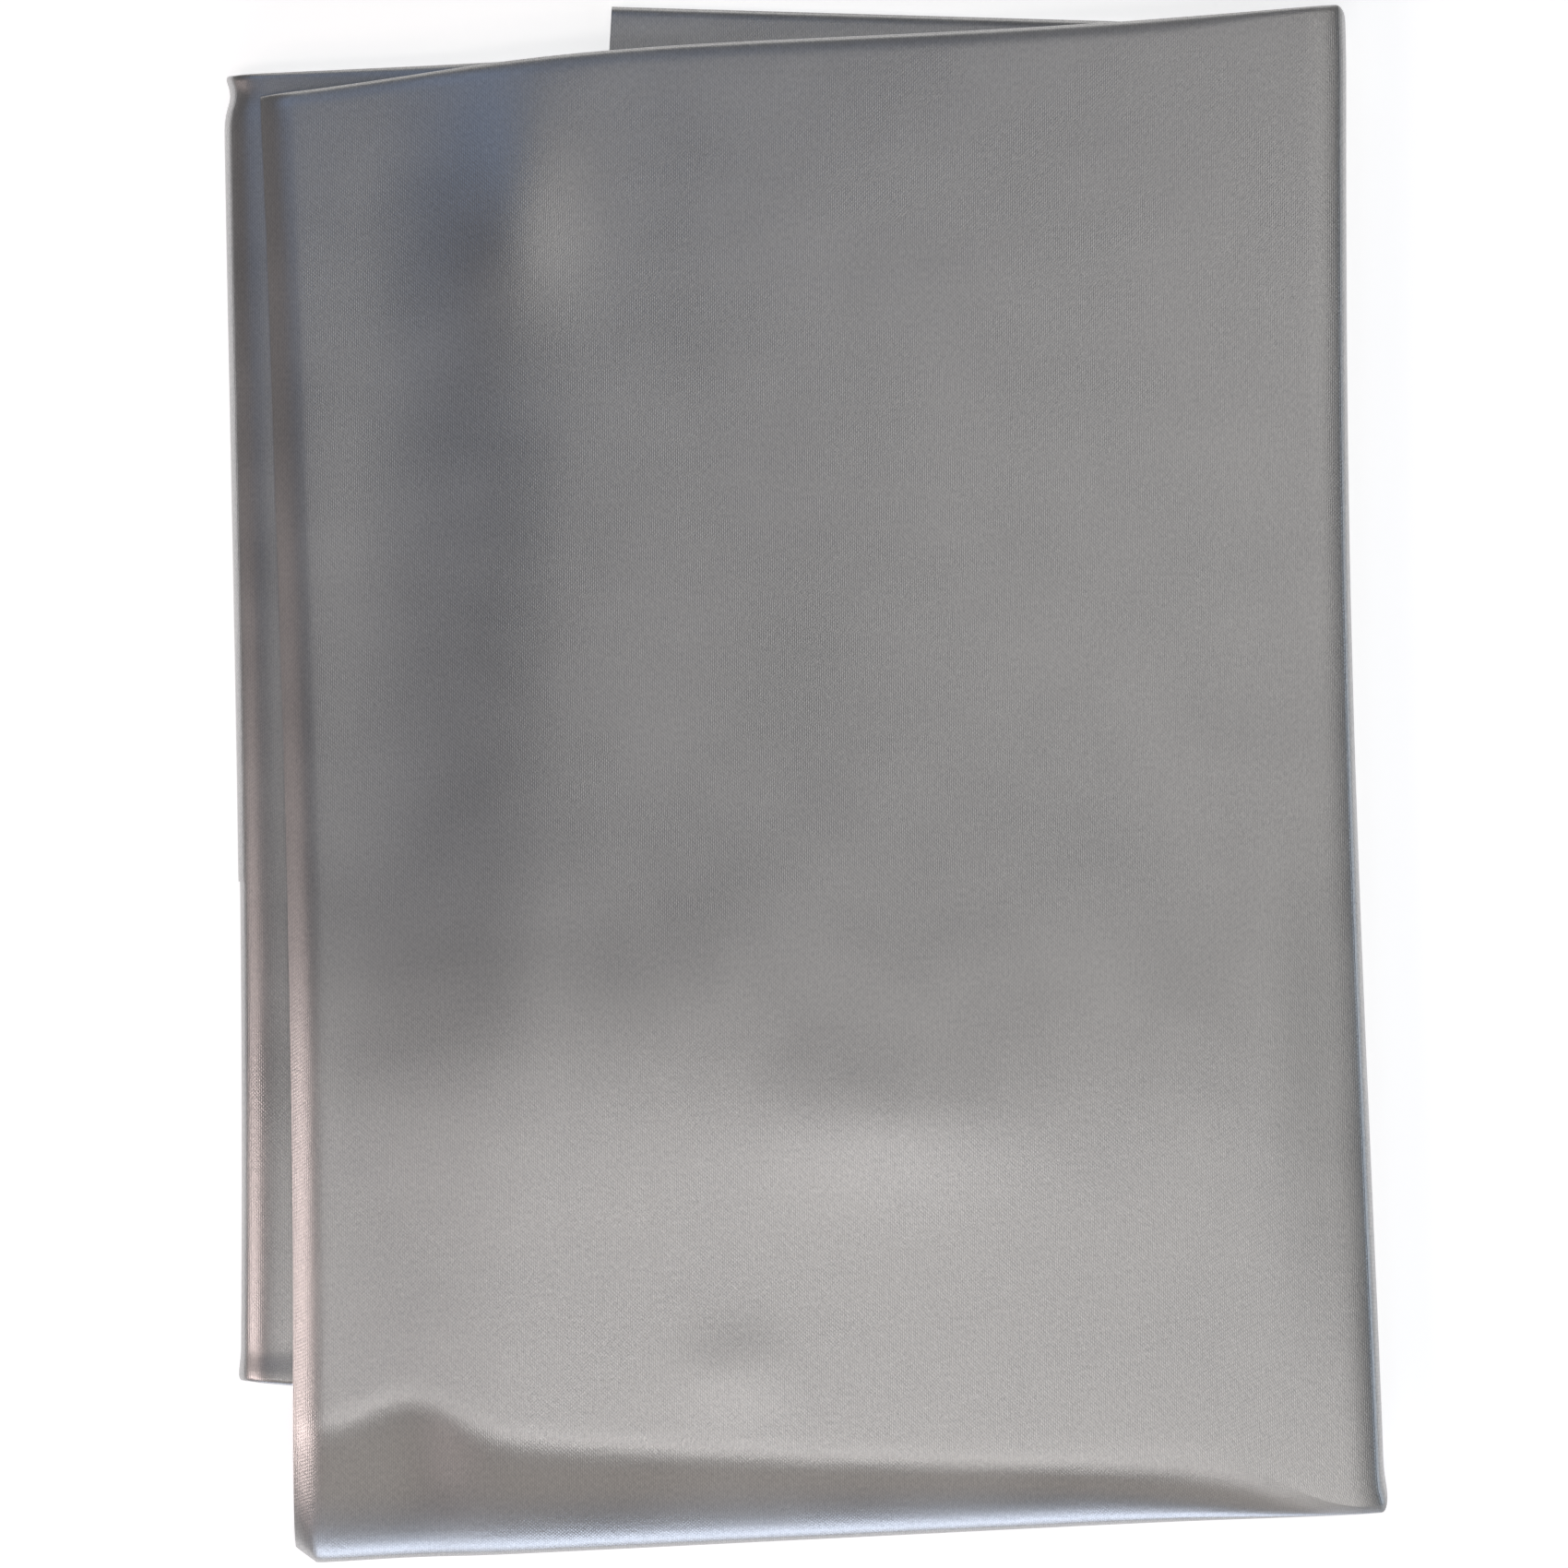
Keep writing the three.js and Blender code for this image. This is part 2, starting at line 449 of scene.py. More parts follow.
        near_over = over
        over, under, tip, low, settle = self.far_roll.pressed(loose)
        section.run(lerp(near + near_over, far - over, steps[:, 1:]), outer)
        section.run(far - over * (1 - np.cos(out)), lerp(tip, outer, np.sin(out)))
        section.run(far - under * (1 - np.cos(back)), lerp(tip, low, np.sin(back)))
        section.run(far - lerp(under, settle, ramp), lerp(low, inner, ease(ramp, 0, 1)))
        gap = lerp(*self.far_flap_gap, share)[:, None]
        section.run(lerp(far - settle, near + gap, steps[:, 1:]), inner)

        y, z = section.whole()
        return (y, z) if self.outer_up else (y, cloth.slot - z)


@dataclass
class Lay:
    """How the pile settles: what lies lower or higher than on a flat pile."""

    tail: Leaf
    middle: Leaf
    top: Leaf
    step: float = 2.2 * MM  # how far the upper leaves sink beyond the tail
    step_run: float = 64 * MM
    droop_slope: float = 0.24
    droop_start: float = 6 * MM  # how softly the droop begins
    stiff: float = 8 * MM  # how much farther the left side stands out before it droops
    early: Swell = Swell(-113 * MM, -190 * MM, 17 * MM, 400 * MM, 11 * MM)  # where it starts early
    droop_held: float = 8 * MM  # how far from its pleat the droop begins
    droop_from_pleat: float = 90 * MM  # how far from its pleat the droop is full
    clearance: float = 2 * MM
    calm_start: float = 2 * MM
    calm: float = 28 * MM
    end_curl: float = 2.9 * MM
    end_curl_run: float = 10 * MM
    crown_slopes: tuple[float, float] = (0.6, 0.28)  # at a left and at a right pleat
    crown_run: float = 11 * MM
    swollen: float = 1.0 * MM
    swells: tuple[Swell, ...] = ()
    follow: tuple[float, ...] = (0.0, 0.25, 0.5, 1.0)  # share of the swells in each leaf

    def past_tail(self, x: Array, y: Array) -> Array:
        """How far the upper leaves sink where the tail under them ends."""
        top = self.tail.side_at(Side.LEFT, y) - self.clearance
        return self.step * (1 - ease(x - top, -self.step_run, 0))

    def overhang(self, x: Array, y: Array) -> Array:
        """How far the top leaf droops beyond the middle leaf's near edge.

        Args:
            x: X of the points.
            y: Y of the points.

        Returns:
            How far each point sinks.
        """
        line, room = self.middle.edge_line(End.NEAR)
        left, right = (self.top.side_at(side, 0.0) for side in Side)
        spared = lerp(self.stiff, 0.0, (x - left) / (right - left)) - self.early.at(x, y)
        beyond = line(x) - room - self.clearance - spared - y
        from_pleat = self.top.side_at(Side.RIGHT, y) - x
        fall = np.hypot(np.maximum(beyond, 0), self.droop_start) - self.droop_start
        return self.droop_slope * fall * ease(from_pleat, self.droop_held, self.droop_from_pleat)

    def curl(self, x: Array, y: Array) -> Array:
        """How far the top leaf's cut end curls down."""
        run = np.clip((x - self.top.side_at(Side.LEFT, y)) / self.end_curl_run, 0, 1)
        return self.end_curl * (1 - run) ** 2

    def pleat_slope(self, leaf: Leaf, side: Side) -> float:
        """How steeply a leaf leaves the pleat at that side."""
        return self.crown_slopes[0 if side is Side.LEFT else 1] if leaf.index else 0.0

    def crown(self, leaf: Leaf, side: Side, from_pleat: Array) -> Array:
        """How far a leaf rises away from a pleat, as a soft fold does."""
        rest = 1 - np.clip(from_pleat / self.crown_run, 0, 1)
        return -self.pleat_slope(leaf, side) * self.crown_run / 3 * rest**3

    def rise(self, leaf: Leaf, x: Array, y: Array) -> Array:
        """What to add to a leaf's height at points in plan.

        Args:
            leaf: The leaf that the points lie on.
            x: X of the points.
            y: Y of the points.

        Returns:
            The height to add at each point.
        """
        if leaf.index == 0:
            return np.zeros_like(x)
        from_pleat = np.abs(x - leaf.side_at(Side.RIGHT, y))
        crown = self.swollen + self.crown(leaf, Side.RIGHT, from_pleat)
        if leaf.left:
            from_left = np.abs(x - leaf.side_at(Side.LEFT, y))
            crown = crown + self.crown(leaf, Side.LEFT, from_left)
            from_pleat = np.minimum(from_pleat, from_left)
        waves = sum((s.at(x, y) for s in self.swells), np.zeros_like(x))
        waves = waves * self.follow[leaf.index] * ease(from_pleat, self.calm_start, self.calm)
        height = crown + waves - self.past_tail(x, y)
        if leaf is self.top:
            height = height - self.overhang(x, y) - self.curl(x, y)
        return height


@dataclass
class SheetMesh:
    """A grid of points on the cloth's middle surface, made into a closed sheet."""

    name: str
    points: Array
    thickness: float

    def flat_places(self) -> Array:
        """Where each point lies on the flat cloth, in metres along its two threads.

        Returns:
            The two distances, in a grid like that of the points.
        """
        steps_u = np.linalg.norm(np.diff(self.points, axis=0), axis=2)
        steps_v = np.linalg.norm(np.diff(self.points, axis=1), axis=2)
        u = np.concatenate([[0], np.cumsum(np.median(steps_u, axis=1))])
        v = np.concatenate([[0], np.cumsum(np.median(steps_v, axis=0))])
        return np.stack(np.meshgrid(u, v, indexing="ij"), axis=2)

    def normals(self) -> Array:
        """The unit normal at each point.

        Returns:
            The normals, in a grid like that of the points.
        """
        across = np.gradient(self.points, axis=0)
        along = np.gradient(self.points, axis=1)
        normal = np.cross(across, along)
        return normal / np.maximum(np.linalg.norm(normal, axis=2, keepdims=True), 1e-12)

    def faces(self) -> Array:
        """The faces of the two broad sides and of the rim between them.

        Returns:
            Four vertex numbers for each face, where the lower side's follow the upper side's.
        """
        rows, columns = self.points.shape[:2]
        index = np.arange(rows * columns).reshape(rows, columns)
        under = index + rows * columns
        border = [
            (index[0], under[0]),
            (index[-1, ::-1], under[-1, ::-1]),
            (index[::-1, 0], under[::-1, 0]),
            (index[:, -1], under[:, -1]),
        ]
        rim = [np.stack([a[:-1], a[1:], b[1:], b[:-1]], axis=1) for a, b in border]
        return np.concatenate([quads(index), quads(under)[:, ::-1], *rim])

    def build(self) -> bpy.types.Object:
        """Makes the object, with its flat places in the UV map "cloth".

        Returns:
            The sheet as an object, linked into the scene.
        """
        offset = self.normals() * self.thickness / 2
        upper, lower = (self.points + offset).reshape(-1, 3), (self.points - offset).reshape(-1, 3)
        faces = self.faces()
        mesh = bpy.data.meshes.new(self.name)
        mesh.from_pydata(np.concatenate([upper, lower]).tolist(), [], faces.tolist())
        self.lay_threads(mesh)
        mesh.polygons.foreach_set("use_smooth", np.ones(len(faces), bool))
        self.face_out(mesh)
        self.crease_rim(mesh, len(upper))
        piece = bpy.data.objects.new(self.name, mesh)
        bpy.context.scene.collection.objects.link(piece)
        return piece

    def lay_threads(self, mesh: bpy.types.Mesh) -> None:
        """Gives each corner of a face its place on the flat cloth.

        Args:
            mesh: The closed sheet.
        """
        flat = np.tile(self.flat_places().reshape(-1, 2), (2, 1))
        corners = np.zeros(len(mesh.loops), np.int32)
        mesh.loops.foreach_get("vertex_index", corners)
        layer = mesh.uv_layers.new(name="cloth")
        layer.uv.foreach_set("vector", flat[corners].astype(np.float32).ravel())

    @staticmethod
    def face_out(mesh: bpy.types.Mesh) -> None:
        """Turns every face outwards.

        Args:
            mesh: The closed sheet.
        """
        shell = bmesh.new()
        shell.from_mesh(mesh)
        bmesh.ops.recalc_face_normals(shell, faces=shell.faces)
        shell.to_mesh(mesh)
        shell.free()

    @staticmethod
    def crease_rim(mesh: bpy.types.Mesh, split: int) -> None:
        """Keeps the cut edge sharp: the edges between a broad side and the rim.

        Args:
            mesh: The closed sheet.
            split: How many of its vertices are on the upper broad side.
        """
        ends = np.zeros(len(mesh.edges) * 2, np.int32)
        mesh.edges.foreach_get("vertices", ends)
        ends = ends.reshape(-1, 2)
        rim = {v for a, b in ends[(ends[:, 0] < split) != (ends[:, 1] < split)] for v in (a, b)}
        sharp = [a in rim and b in rim and (a < split) == (b < split) for a, b in ends]
        layer = mesh.attributes.new("sharp_edge", "BOOLEAN", "EDGE")
        layer.data.foreach_set("value", np.array(sharp, bool))


def quads(index: Array) -> Array:
    """The four-sided faces of a grid of vertex numbers.

    Args:
        index: The grid.

    Returns:
        Four vertex numbers for each face.
    """
    a, b = index[:-1, :-1], index[1:, :-1]
    c, d = index[1:, 1:], index[:-1, 1:]
    return np.stack([a, b, c, d], axis=2).reshape(-1, 4)


@dataclass(frozen=True)
class CoatedCloth:
    """The finish: a satin silver-grey pigmented coating over a fine plain weave."""

    name: str = "coated glass cloth"
    pale: tuple[float, float, float] = (0.60, 0.595, 0.585)
    dark: tuple[float, float, float] = (0.40, 0.40, 0.405)
    tones: tuple[float, float] = (0.34, 0.66)  # the mixed noise where it is dark and pale
    metallic: float = 0.85
    roughness: tuple[float, float] = (0.28, 0.32)
    weave_share: float = 0.4  # of the tone, against the grain's
    patch_share: float = 0.25  # of the tone, against the grain and weave together
    rib_share: float = 0.5  # of the crossings in the weave, against the ribs
    coat: float = 0.08
    coat_roughness: float = 0.35
    thread: float = 0.53 * MM  # from one thread to the next
    weave_depth: float = 0.035 * MM
    wander_size: float = 5 * MM
    wander: float = 3.0  # how far the threads stray from straight, in radians of their wave
    grain_size: float = 0.8 * MM
    patch_size: float = 45 * MM  # the slow variation in tone and in gloss
    pebble_size: float = 1.2 * MM
    pebble_depth: float = 0.04 * MM
    crumple_size: float = 22 * MM
    crumple_depth: float = 0.03 * MM

    def build(self) -> bpy.types.Material:
        """Makes the material's nodes.

        Returns:
            The material.
        """
        material = bpy.data.materials.new(self.name)
        material.use_nodes = True
        nodes = NodeBench(material.node_tree)
        shader = material.node_tree.nodes["Principled BSDF"]
        shader.inputs["Metallic"].default_value = self.metallic
        shader.inputs["Coat Weight"].default_value = self.coat
        shader.inputs["Coat Roughness"].default_value = self.coat_roughness
        place = nodes.add("ShaderNodeUVMap", uv_map="cloth").outputs["UV"]
        weave = self.weave(nodes, place)
        grain = nodes.noise(nodes.scaled(place, (1, 0.6, 1)), self.grain_size, 2, 0.6)
        patches = nodes.noise(place, self.patch_size, 2, 0.5)
        tone = nodes.mix(self.weave_share, grain, weave)
        tone = nodes.mix(self.patch_share, tone, patches)
        tone = nodes.ramp(tone, list(zip(self.tones, (self.dark, self.pale))))
        nodes.join(tone, shader.inputs["Base Color"])
        rough = nodes.map_range(patches, (0.3, 0.7), self.roughness)
        nodes.join(rough, shader.inputs["Roughness"])
        nodes.join(self.relief(nodes, place, weave), shader.inputs["Normal"])
        return material

    def weave(self, nodes: "NodeBench", place: bpy.types.NodeSocket) -> bpy.types.NodeSocket:
        """The weave: ribs along the cloth, each broken where a thread crosses it by turns.

        Args:
            nodes: The material's node bench.
            place: The place on the flat cloth.

        Returns:
            The weave's height, from 0 to 1.
        """
        wander = nodes.noise(place, self.wander_size, 2, 0.5)
        parts = nodes.add("ShaderNodeSeparateXYZ")
        nodes.join(place, parts.inputs[0])
        waves = []
        for axis in ("X", "Y"):
            turns = nodes.math("MULTIPLY", parts.outputs[axis], math.pi / self.thread)
            bent = nodes.math("ADD", turns, nodes.math("MULTIPLY", wander, self.wander))
            waves.append(nodes.math("SINE", bent))
        crossing = nodes.math("MULTIPLY", *waves)
        ribs = nodes.math("MULTIPLY", waves[0], waves[0])
        return nodes.mix(self.rib_share, ribs, nodes.map_range(crossing, (-1, 1), (0, 1)))

    def relief(
        self, nodes: "NodeBench", place: bpy.types.NodeSocket, weave: bpy.types.NodeSocket
    ) -> bpy.types.NodeSocket:
        """The bumps: a soft crumple, then pebbles in the coating, then the weave.

        Args:
            nodes: The material's node bench.
            place: The place on the flat cloth.
            weave: The weave's height.

        Returns:
            The bent normal.
        """
        crumple = nodes.noise(place, self.crumple_size, 3, 0.5)
        normal = nodes.bump(crumple, self.crumple_depth, None)
        pebbles = nodes.noise(nodes.scaled(place, (1, 0.75, 1)), self.pebble_size, 2, 0.6)
        normal = nodes.bump(pebbles, self.pebble_depth, normal)
        return nodes.bump(weave, self.weave_depth, normal)


@dataclass
class NodeBench:
    """Makes and joins shader nodes."""

    tree: bpy.types.NodeTree

    def add(self, kind: str, **settings: object) -> bpy.types.Node:
        """Adds a node and sets its properties.

        Args:
            kind: The node's type.
            **settings: The properties, by name.

        Returns:
            The node.
        """
        node = self.tree.nodes.new(kind)
        for name, value in settings.items():
            setattr(node, name, value)
        return node

    def join(self, output: bpy.types.NodeSocket, socket: bpy.types.NodeSocket) -> None:
        """Links an output to an input."""
        self.tree.links.new(output, socket)

    def feed(self, socket: bpy.types.NodeSocket, value: Source) -> None:
        """Links a socket's source, or sets its value where the source is a number.

        Args:
            socket: The input to feed.
            value: An output to link, or a number.
        """
        if isinstance(value, bpy.types.NodeSocket):
            self.join(value, socket)
        else:
            socket.default_value = value

    def math(self, operation: str, a: Source, b: Source = 0.0) -> bpy.types.NodeSocket:
        """A math node's result.

        Args:
            operation: What the node works out.
            a: Its first number or source.
            b: Its second number or source.

        Returns:
            The node's output.
        """
        node = self.add("ShaderNodeMath", operation=operation)
        self.feed(node.inputs[0], a)
        self.feed(node.inputs[1], b)
        return node.outputs[0]

    def scaled(
        self, place: bpy.types.NodeSocket, scale: tuple[float, float, float]
    ) -> bpy.types.NodeSocket:
        """A place stretched along its axes.

        Args:
            place: The place to stretch.
            scale: How many times, along each axis.

        Returns:
            The stretched place.
        """
        node = self.add("ShaderNodeVectorMath", operation="MULTIPLY")
        self.join(place, node.inputs[0])
        node.inputs[1].default_value = scale
        return node.outputs[0]

    def noise(
        self, place: bpy.types.NodeSocket, size: float, detail: float, roughness: float
    ) -> bpy.types.NodeSocket:
        """Fractal noise.

        Args:
            place: Where to read it.
            size: The size of its largest features, in metres.
            detail: How many finer layers it has.
            roughness: How strong the finer layers are.

        Returns:
            The noise, from 0 to 1.
        """
        node = self.add("ShaderNodeTexNoise")
        self.join(place, node.inputs["Vector"])
        node.inputs["Scale"].default_value = 1 / size
        node.inputs["Detail"].default_value = detail
        node.inputs["Roughness"].default_value = roughness
        return node.outputs["Fac"]

    def mix(
        self, share: float, a: bpy.types.NodeSocket, b: bpy.types.NodeSocket
    ) -> bpy.types.NodeSocket:
        """A number that lies share of the way from a to b.

        Args:
            share: How far towards b.
            a: The first number.
            b: The second number.

        Returns:
            The mixed number.
        """
        node = self.add("ShaderNodeMix")
        node.inputs[0].default_value = share
        self.join(a, node.inputs[2])
        self.join(b, node.inputs[3])
        return node.outputs[0]

    def map_range(
        self, value: bpy.types.NodeSocket, given: tuple[float, float], wanted: tuple[float, float]
    ) -> bpy.types.NodeSocket:
        """A number moved from one range to another.

        Args:
            value: The number.
            given: The range that it has.
            wanted: The range to move it to.

        Returns:
            The number in its new range.
        """
        node = self.add("ShaderNodeMapRange")
        self.join(value, node.inputs[0])
        for socket, number in zip(node.inputs[1:5], (*given, *wanted)):
            socket.default_value = number
        return node.outputs[0]

    def ramp(
        self, value: bpy.types.NodeSocket, stops: list[tuple[float, tuple[float, float, float]]]
    ) -> bpy.types.NodeSocket:
        """A colour picked from a ramp.

        Args:
            value: The place on the ramp, from 0 to 1.
            stops: Two places, each with its colour.

        Returns:
            The colour.
        """
        node = self.add("ShaderNodeValToRGB")
        self.join(value, node.inputs[0])
        for element, (position, colour) in zip(node.color_ramp.elements, stops):
            element.position = position
            element.color = (*colour, 1)
        return node.outputs[0]

    def bump(
        self, height: bpy.types.NodeSocket, depth: float, normal: bpy.types.NodeSocket | None
    ) -> bpy.types.NodeSocket:
        """A normal bent by a height.

        Args:
            height: The height, from 0 to 1.
            depth: What a height of 1 is, in metres.
            normal: The normal to bend, or None for the surface's own.

        Returns:
            The bent normal.
        """
        node = self.add("ShaderNodeBump")
        node.inputs["Strength"].default_value = 1.0
        node.inputs["Distance"].default_value = depth
        self.join(height, node.inputs["Height"])
        if normal is not None:
            self.join(normal, node.inputs["Normal"])
        return node.outputs["Normal"]


@dataclass
class Blanket:
    """The whole sheet: four leaves, and the pleat that joins each to the one below it."""

    cloth: Cloth = Cloth()
    small_roll: Roll = Roll(over=5 * MM, under=3 * MM, tip=1.7 * MM, low=0.8 * MM, settle=26 * MM)
    broad_roll: Roll = Roll(over=24 * MM, under=6 * MM, tip=-1.4 * MM, low=-2.1 * MM, settle=30 * MM)
    right_side: Bow = Bow(out=0.6 * MM, swell=-2.9 * MM, middle=0.57)
    eared_side: Bow = Bow(out=0.6 * MM, swell=-2.9 * MM, middle=0.57, tip=3.4 * MM, tip_run=15 * MM)
    left_side: Bow = Bow(out=1.3 * MM, swell=-1.6 * MM, middle=0.62, tip=2.1 * MM, notch=1.8 * MM)
    cut_side: Bow = Bow(swell=-2.6 * MM, middle=0.63, tip=1.0 * MM, tip_run=60 * MM)
    far_end: Bow = Bow(swell=4.2 * MM, middle=0.33, power=3)
    near_end: Bow = Bow(tip=-4.5 * MM, tip_run=6 * MM)
    swells: tuple[Swell, ...] = (
        Swell(10 * MM, -66 * MM, 260 * MM, 58 * MM, 2.5 * MM),  # a broad rise right across
        Swell(-84 * MM, 168 * MM, 16 * MM, 34 * MM, 2.1 * MM),  # a short ridge near the far edge
        Swell(24 * MM, -95 * MM, 34 * MM, 19 * MM, 0.7 * MM),  # a low bulge on the rise's near slope
        Swell(-20 * MM, -168 * MM, 14 * MM, 11 * MM, 0.4 * MM),  # a small bump above the droop
        Swell(-115 * MM, 80 * MM, 26 * MM, 110 * MM, -0.8 * MM),  # a long hollow beside the left end
    )
    blend_lean: float = 0.08  # how far a bend's halving plane leans inwards, as a slope
    blend_half: float = 1.5 * MM

    def __post_init__(self) -> None:
        """Makes the leaves and the way they lie."""
        pleats = [Hinge.from_frame(j["name"]) for j in frame["joints"]]
        self.pleats = pleats
        small, broad, right = self.small_roll, self.broad_roll, self.right_side
        pair = {Side.RIGHT: right, Side.LEFT: self.left_side}
        around = {
            Side.RIGHT: self.eared_side,
            Side.LEFT: self.cut_side,
            End.FAR: self.far_end,
            End.NEAR: self.near_end,
        }
        self.leaves = [
            Leaf("tail", 0, False, self.cloth, pleats[0], None, small, small, {Side.RIGHT: right}),
            Leaf("lower", 1, True, self.cloth, pleats[0], pleats[1], small, small, pair),
            Leaf("middle", 2, False, self.cloth, pleats[2], pleats[1], small, small, pair),
            Leaf("top", 3, True, self.cloth, pleats[2], None, broad, small, around),
        ]
        tail, _, middle, top = self.leaves
        self.lay = Lay(tail, middle, top, swells=self.swells)

    def pleat_side(self, leaf: Leaf) -> Side:
        """The side on which a leaf is joined to the one below it."""
        return Side.LEFT if leaf.left is self.pleats[leaf.index - 1] else Side.RIGHT

    def leaf_points(self, leaf: Leaf, share: Array) -> Array:
        """The points of a leaf's sections, from the near flap's free edge to the far flap's.

        Args:
            leaf: The leaf.
            share: Where the sections are, from 0 at the left to 1 at the right.

        Returns:
            The points, with a row for each section.
        """
        y, height = leaf.profile(share)
        x = lerp(leaf.side_at(Side.LEFT, y), leaf.side_at(Side.RIGHT, y), share[:, None])
        z = leaf.floor + height + self.lay.rise(leaf, x, y)
        return np.stack([x, y, z], axis=2)

    def bend_points(self, leaf: Leaf) -> Array:
        """The points of the bend under a leaf, from its own edge down to the leaf below's.

        Args:
            leaf: The leaf above the bend.

        Returns:
            The points, with a row for each step round the bend.
        """
        below, side = self.leaves[leaf.index - 1], self.pleat_side(leaf)
        share = np.array([1.0 if side is Side.RIGHT else 0.0])
        own, other = (self.leaf_points(part, share)[0] for part in (leaf, below))
        own_axis = leaf.floor + self.lay.rise(leaf, own[None, :, 0], own[None, :, 1])[0]
        other_axis = leaf.floor + self.lay.rise(below, other[None, :, 0], other[None, :, 1])[0]
        rows = []
        for turn in np.linspace(0, math.pi, self.cloth.bend_steps)[1:]:
            share = float(ease(turn, 0, math.pi))
            radius = lerp(own[:, 2] - own_axis, other_axis - other[:, 2], share)
            reach = radius * math.sin(turn)
            slope = lerp(*(self.lay.pleat_slope(part, side) for part in (leaf, below)), share)
            x = lerp(own[:, 0], other[:, 0], share) + side.value * reach
            z = lerp(own_axis, other_axis, share) + radius * math.cos(turn) - slope * reach
            rows.append(np.stack([x, lerp(own[:, 1], other[:, 1], share), z], axis=1))
        return np.stack(rows)

    def piece(self, leaf: Leaf, finish: bpy.types.Material) -> bpy.types.Object:
        """Builds, dresses and fixes one leaf with the bend under it.

        Args:
            leaf: The leaf.
            finish: The cloth's material.

        Returns:
            The finished piece.
        """
        points = self.leaf_points(leaf, self.cloth.shares())
        if leaf.index > 0:
            if self.pleat_side(leaf) is Side.LEFT:
                points = points[::-1]
            points = np.concatenate([points, self.bend_points(leaf)])
        sheet = SheetMesh(f"{leaf.name}_sheet", points, self.cloth.thickness)
        made = sheet.build()
        made.data.materials.append(finish)
        self.fix(leaf, made)
        self.under(leaf)
        return made

    def under(self, leaf: Leaf) -> list[str]:
        """The names of what a leaf lies on."""
        return [f"{self.leaves[leaf.index - 1].name}_sheet"] if leaf.index else []

    def fix(self, leaf: Leaf, piece: bpy.types.Object) -> None:
        """Joins the tail's piece to its body, and hides the plain solids that each piece takes the
        place of.

        Args:
            leaf: The leaf that the piece is made from.
            piece: The piece.
        """
        nodes = [f"{leaf.name}_{ply.value}" for ply in Ply]
        nodes += [f"{leaf.name}_near_fold", f"{leaf.name}_far_fold"]
        if leaf.index == 0:
            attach(piece, leaf.body)
            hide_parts(*nodes)
            return
        below, hinge = self.leaves[leaf.index - 1], self.pleats[leaf.index - 1]
        nodes += [f"{hinge.name}_{ply.value}" for ply in Ply]
        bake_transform(piece)
        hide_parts(*nodes)

    def build(self, finish: bpy.types.Material) -> list[bpy.types.Object]:
        """Builds every leaf in order, from the tail up."""
        return [self.piece(leaf, finish) for leaf in self.leaves]


@dataclass(frozen=True)
class Lamp:
    """A soft rectangular light that faces the blanket."""

    name: str
    place: tuple[float, float, float]
    size: tuple[float, float]
    power: float
    colour: tuple[float, float, float]

    def build(self) -> None:
        """Makes the light, which no camera sees directly."""
        data = bpy.data.lights.new(self.name, "AREA")
        data.shape = "RECTANGLE"
        data.size, data.size_y = self.size
        data.energy = self.power
        data.color = self.colour
        light = bpy.data.objects.new(self.name, data)
        light.location = self.place
        light.rotation_euler = (-Vector(self.place)).to_track_quat("-Z", "Y").to_euler()
        light.visible_camera = False
        bpy.context.scene.collection.objects.link(light)


LAMPS = (
    Lamp("near overhead", (-0.06, -0.55, 1.7), (1.3, 0.28), 3.15, (1.0, 0.965, 0.95)),
    Lamp("near ceiling", (0.0, -1.2, 1.4), (1.6, 0.3), 1.0, (1.0, 0.86, 0.72)),
    Lamp("left window", (-1.2, -0.54, 0.85), (0.75, 0.5), 4.9, (1.0, 0.82, 0.79)),
    Lamp("right overhead", (0.5, 0.3, 1.8), (0.6, 1.15), 2.1, (1.0, 0.98, 0.965)),
    Lamp("near right overhead", (0.78, -0.35, 1.7), (0.5, 0.6), 0.6, (1.0, 0.99, 0.96)),
    Lamp("far left sky", (-0.7, 0.8, 1.7), (0.8, 0.8), 1.3, (0.40, 0.60, 1.0)),
    Lamp("right sky", (1.9, -0.3, 0.9), (1.2, 0.8), 2.5, (0.6, 0.78, 1.0)),
    Lamp("near side", (0.0, -2.0, 0.72), (2.4, 0.55), 12, (0.70, 0.80, 1.0)),
    Lamp("far side", (0.3, 1.9, 1.1), (2.2, 0.8), 5, (1.0, 1.0, 1.0)),
    Lamp("right wall", (2.9, 0.0, 0.8), (4.0, 1.3), 7, (1.0, 0.99, 0.97)),
    Lamp("far wall", (0.0, 2.9, 0.8), (4.0, 1.3), 7, (1.0, 0.99, 0.97)),
    Lamp("left wall", (-2.9, 0.0, 0.8), (4.0, 1.3), 0.8, (0.8, 0.9, 1.0)),
    Lamp("near wall", (0.0, -2.9, 0.8), (4.0, 1.3), 7, (1.0, 0.99, 0.97)),
)


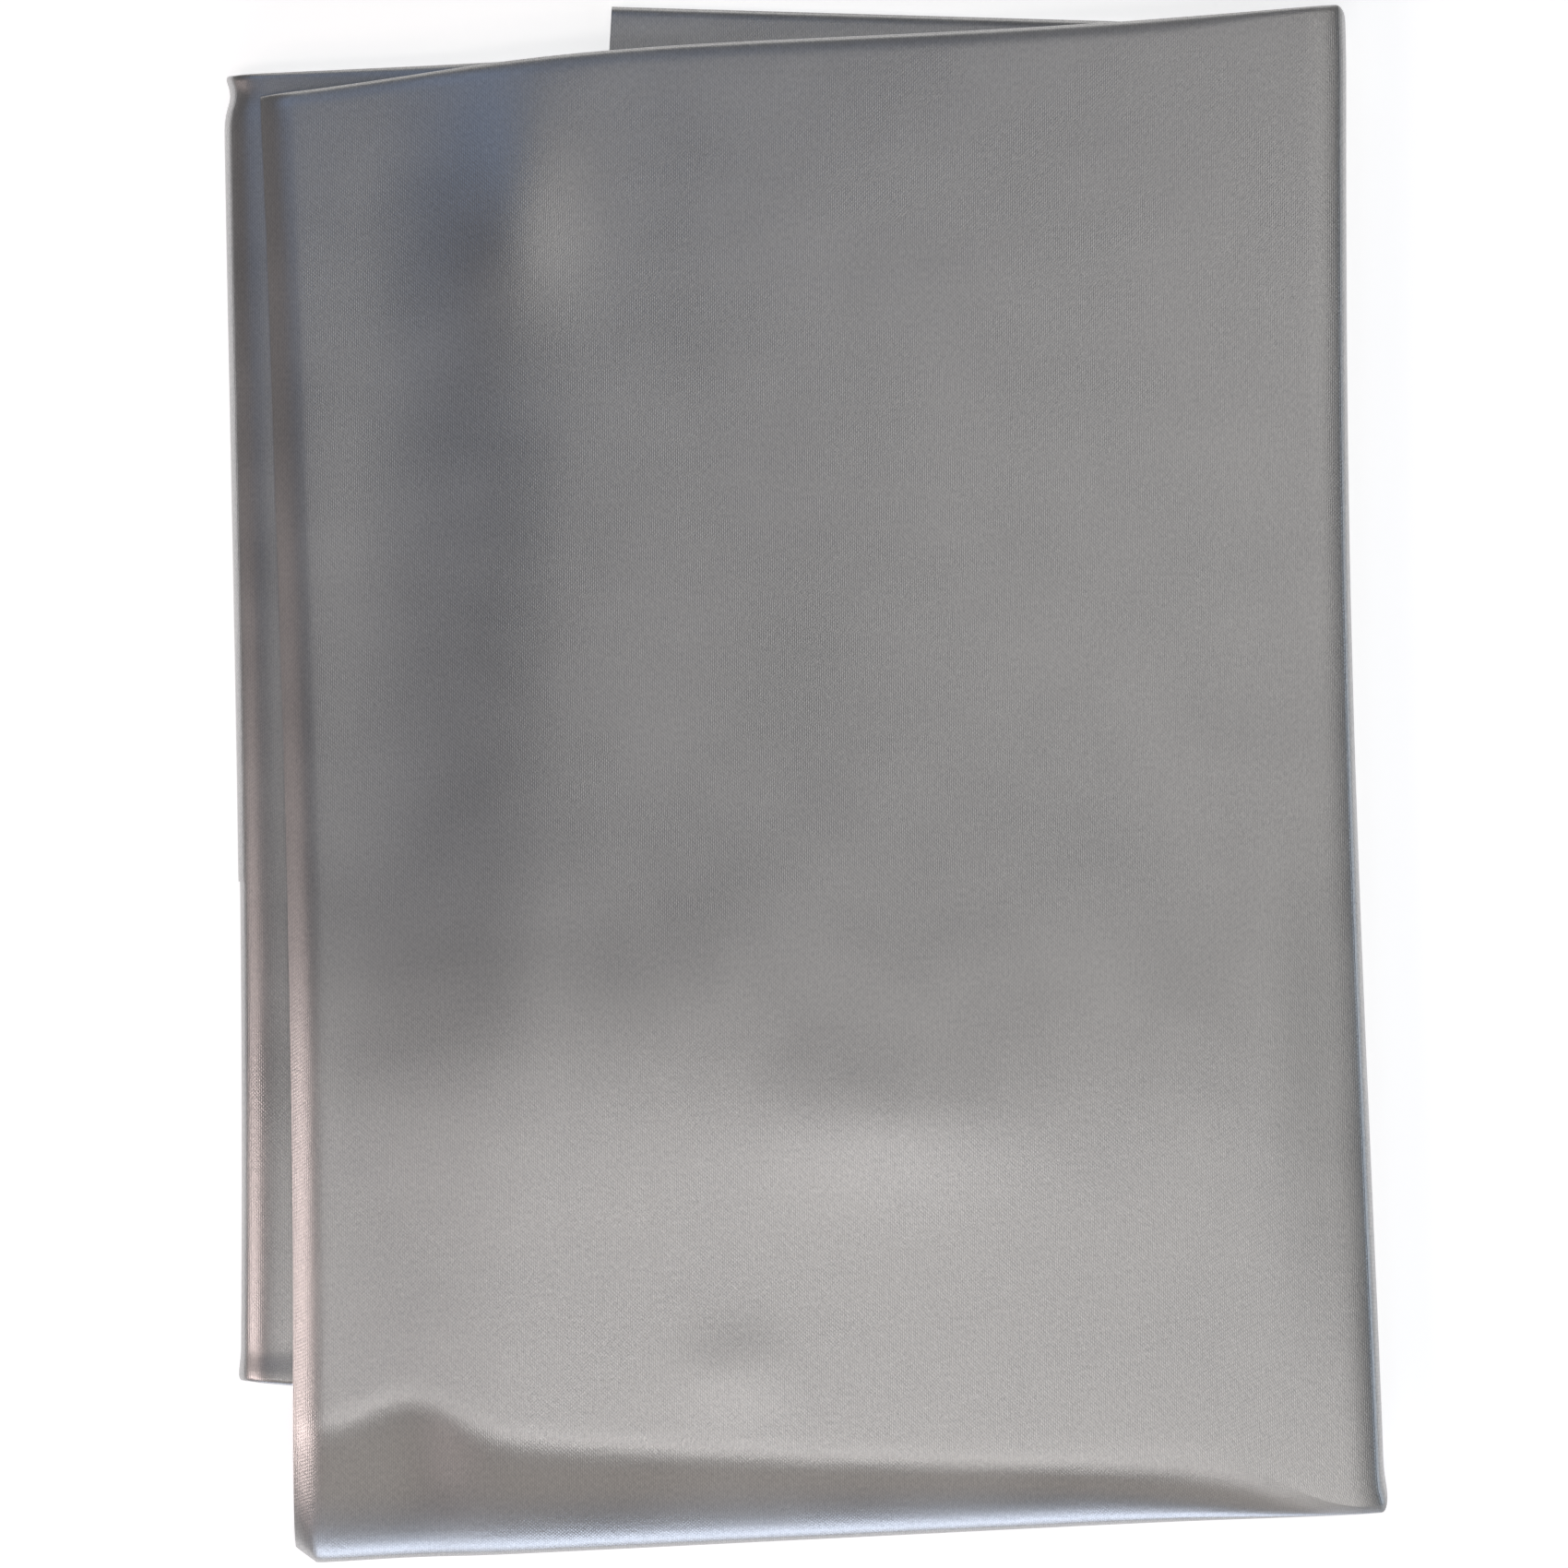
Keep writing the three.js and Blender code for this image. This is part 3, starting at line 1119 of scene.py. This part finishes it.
@dataclass
class Studio:
    """The pale floor, the soft lights and the camera that looks straight down."""

    view_width: float = 452.2 * MM
    centre: tuple[float, float] = (-5.6 * MM, 0.4 * MM)
    camera_height: float = 1.5
    subject_height: float = 10 * MM
    sensor: float = 36.0  # the camera's own unit, as the lens is
    nearest: float = 0.05
    farthest: float = 100.0
    floor_half: float = 30.0
    floor_colour: tuple[float, float, float] = (0.86, 0.86, 0.86)
    floor_roughness: float = 0.9
    floor_specular: float = 0.1
    floor_glow: float = 0.62
    air_colour: tuple[float, float, float] = (1.0, 0.95, 0.9)
    air_strength: float = 0.07
    lamps: tuple[Lamp, ...] = LAMPS

    def camera(self) -> None:
        """Makes the camera, framed on the bundle."""
        data = bpy.data.cameras.new("camera")
        data.sensor_width = self.sensor
        data.lens = self.sensor * (self.camera_height - self.subject_height) / self.view_width
        data.clip_start = self.nearest
        data.clip_end = self.farthest
        camera = bpy.data.objects.new("camera", data)
        camera.location = (*self.centre, self.camera_height)
        bpy.context.scene.collection.objects.link(camera)
        bpy.context.scene.camera = camera

    def floor(self) -> None:
        """Makes the floor, a plain square that glows a little so that it stays pale."""
        half = self.floor_half
        corners = [(-half, -half, 0), (half, -half, 0), (half, half, 0), (-half, half, 0)]
        mesh = bpy.data.meshes.new("floor")
        mesh.from_pydata(corners, [], [(0, 1, 2, 3)])
        material = bpy.data.materials.new("pale floor")
        material.use_nodes = True
        shader = material.node_tree.nodes["Principled BSDF"]
        shader.inputs["Base Color"].default_value = (*self.floor_colour, 1)
        shader.inputs["Roughness"].default_value = self.floor_roughness
        shader.inputs["Specular IOR Level"].default_value = self.floor_specular
        shader.inputs["Emission Color"].default_value = (1, 1, 1, 1)
        shader.inputs["Emission Strength"].default_value = self.floor_glow
        mesh.materials.append(material)
        floor = bpy.data.objects.new("floor", mesh)
        bpy.context.scene.collection.objects.link(floor)

    def world(self) -> None:
        """Makes the dim surroundings."""
        world = bpy.data.worlds.new("studio")
        world.use_nodes = True
        shader = world.node_tree.nodes["Background"]
        shader.inputs["Color"].default_value = (*self.air_colour, 1)
        shader.inputs["Strength"].default_value = self.air_strength
        bpy.context.scene.world = world

    def build(self) -> None:
        """Sets up the whole studio."""
        self.camera()
        self.floor()
        self.world()
        for lamp in self.lamps:
            lamp.build()
        bpy.context.scene.view_settings.view_transform = "Standard"


def main() -> None:
    """Builds the studio and the blanket."""
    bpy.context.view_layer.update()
    Studio().build()
    pieces = Blanket().build(CoatedCloth().build())
    for piece in pieces:
        log.info("%s: %d faces", piece.name, len(piece.data.polygons))


if __name__ == "__main__":
    main()
